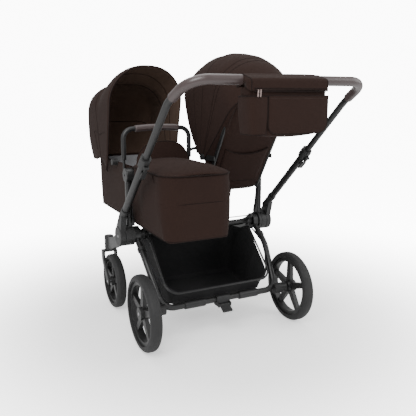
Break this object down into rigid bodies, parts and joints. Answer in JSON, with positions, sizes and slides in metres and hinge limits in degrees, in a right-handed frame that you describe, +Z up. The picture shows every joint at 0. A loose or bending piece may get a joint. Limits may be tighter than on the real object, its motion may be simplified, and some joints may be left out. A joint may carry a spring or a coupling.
{
  "type": "side-by-side pushchair",
  "caption": "Side-by-side pushchair with a hooded bassinet, a canopied seat, a telescopic push bar, an organiser bag, a basket and spoked wheels.",
  "frame": {"origin": "on the ground under the centre of the bounding box", "axes": "+X to the right seen from behind, +Y the way it travels, +Z up"},
  "size_m": [0.7438, 1.269, 1.159],
  "materials": {
    "frame_black": "satin black anodised",
    "moulded_black": "fine-textured moulding",
    "pin_steel": "turned",
    "tyre_rubber": "foam-filled rubber",
    "brown_fabric": "fine matte weave",
    "black_fabric": "coarse weave",
    "grey_lining": "melange lining",
    "grip_leather": "satin leatherette",
    "webbing": "woven strap"
  },
  "bodies": {
    "chassis": {"side_hubs": "moulded_black", "front_arm_left": "frame_black", "front_arm_right": "frame_black", "uprights": "frame_black", "crossbar_sleeves": "frame_black", "crossbar_collars": "moulded_black", "hub_pins": "pin_steel", "crossbar_tube": "frame_black", "centre_post": "moulded_black", "tie_rod": "frame_black", "basket": "black_fabric", "basket_rim": "frame_black", "bassinet_body": "brown_fabric", "bassinet_mattress": "grey_lining", "bassinet_apron": "brown_fabric", "bassinet_brackets": "moulded_black", "hood_clips": "moulded_black", "hood_rear": "brown_fabric"},
    "rear_frame": {"rear_leg_left": "frame_black", "rear_leg_right": "frame_black", "wheel_carriers": "moulded_black", "axle_sleeves": "frame_black", "leg_rings": "moulded_black", "rear_axle_pins": "pin_steel", "axle_tube": "frame_black", "brake_housing": "moulded_black"},
    "brake": {"brake_pedal": "moulded_black"},
    "rear_wheel_left": {"rear_tyre_left": "tyre_rubber", "rear_rim_left": "moulded_black"},
    "rear_wheel_right": {"rear_tyre_right": "tyre_rubber", "rear_rim_right": "moulded_black"},
    "caster_left": {"caster_fork_left": "moulded_black", "front_axle_left": "pin_steel"},
    "caster_right": {"caster_fork_right": "moulded_black", "front_axle_right": "pin_steel"},
    "front_wheel_left": {"front_tyre_left": "tyre_rubber", "front_rim_left": "moulded_black"},
    "front_wheel_right": {"front_tyre_right": "tyre_rubber", "front_rim_right": "moulded_black"},
    "handlebar_lower": {"leg_sockets": "moulded_black", "lower_tubes": "frame_black", "clamps": "moulded_black"},
    "lever_left": {"clamp_lever_left": "moulded_black"},
    "lever_right": {"clamp_lever_right": "moulded_black"},
    "handlebar_upper": {"push_bar": "frame_black", "grip_left": "grip_leather", "grip_right": "grip_leather", "organiser_bag": "brown_fabric"},
    "carry_handle_body": {"carry_handle": "frame_black", "carry_handle_grip": "grip_leather"},
    "hood": {"hood_front": "brown_fabric"},
    "seat": {"seat_frame": "frame_black", "seat_fabric": "brown_fabric", "harness": "webbing", "seat_fittings": "moulded_black", "canopy_clips": "moulded_black", "canopy_rear": "brown_fabric"},
    "canopy": {"canopy_front": "brown_fabric"},
    "bumper": {"bumper_bar": "frame_black"},
    "footrest": {"calf_rest": "brown_fabric"}
  },
  "joints": [
    {"name": "handlebar_fold", "type": "hinge", "parent": "chassis", "child": "handlebar_lower", "pos_m": [0, 0.07246, 0.41], "axis": [1, 0, 0], "range_deg": [-135, 0]},
    {"name": "rear_frame_fold", "type": "hinge", "parent": "chassis", "child": "rear_frame", "pos_m": [0, 0.07246, 0.41], "axis": [1, 0, 0], "range_deg": [0, 34]},
    {"name": "handlebar_height", "type": "slide", "parent": "handlebar_lower", "child": "handlebar_upper", "axis": [0, -0.7314, 0.682], "range_m": [-0.12, 0.05]},
    {"name": "clamp_lever_left_turn", "type": "hinge", "parent": "handlebar_lower", "child": "lever_left", "pos_m": [-0.352, -0.24725, 0.73138], "axis": [1, 0, 0], "range_deg": [-70, 0]},
    {"name": "clamp_lever_right_turn", "type": "hinge", "parent": "handlebar_lower", "child": "lever_right", "pos_m": [0.352, -0.24725, 0.73138], "axis": [1, 0, 0], "range_deg": [-70, 0]},
    {"name": "brake_pedal_press", "type": "hinge", "parent": "rear_frame", "child": "brake", "pos_m": [0, -0.18854, 0.134], "axis": [1, 0, 0], "range_deg": [0, 14]},
    {"name": "rear_wheel_left_spin", "type": "hinge", "parent": "rear_frame", "child": "rear_wheel_left", "pos_m": [-0.345, -0.16454, 0.1525], "axis": [1, 0, 0], "continuous": true},
    {"name": "rear_wheel_right_spin", "type": "hinge", "parent": "rear_frame", "child": "rear_wheel_right", "pos_m": [0.345, -0.16454, 0.1525], "axis": [1, 0, 0], "continuous": true},
    {"name": "caster_left_swivel", "type": "hinge", "parent": "chassis", "child": "caster_left", "pos_m": [-0.315, 0.39546, 0.127], "axis": [0, 0, 1], "continuous": true},
    {"name": "caster_right_swivel", "type": "hinge", "parent": "chassis", "child": "caster_right", "pos_m": [0.315, 0.39546, 0.127], "axis": [0, 0, 1], "continuous": true},
    {"name": "front_wheel_left_spin", "type": "hinge", "parent": "caster_left", "child": "front_wheel_left", "pos_m": [-0.315, 0.32546, 0.127], "axis": [1, 0, 0], "continuous": true},
    {"name": "front_wheel_right_spin", "type": "hinge", "parent": "caster_right", "child": "front_wheel_right", "pos_m": [0.315, 0.32546, 0.127], "axis": [1, 0, 0], "continuous": true},
    {"name": "carry_handle_tilt", "type": "hinge", "parent": "chassis", "child": "carry_handle_body", "pos_m": [0, 0.12546, 0.665], "axis": [1, 0, 0], "range_deg": [-35, 0]},
    {"name": "hood_fold", "type": "hinge", "parent": "chassis", "child": "hood", "pos_m": [0, 0.25546, 0.7], "axis": [1, 0, 0], "range_deg": [-45, 0]},
    {"name": "seat_recline", "type": "hinge", "parent": "chassis", "child": "seat", "pos_m": [0, 0.07046, 0.665], "axis": [1, 0, 0], "range_deg": [-12, 20]},
    {"name": "canopy_fold", "type": "hinge", "parent": "seat", "child": "canopy", "pos_m": [0, 0.04046, 0.727], "axis": [1, 0, 0], "range_deg": [0, 30]},
    {"name": "bumper_bar_lift", "type": "hinge", "parent": "seat", "child": "bumper", "pos_m": [0, 0.13546, 0.612], "axis": [1, 0, 0], "range_deg": [0, 35]},
    {"name": "calf_rest_lift", "type": "hinge", "parent": "seat", "child": "footrest", "pos_m": [0, 0.22576, 0.576], "axis": [1, 0, 0], "range_deg": [0, 60]}
  ],
  "couplings": [
    {"joint": "rear_frame_fold", "follows": "handlebar_fold", "ratio": -0.25}
  ]
}
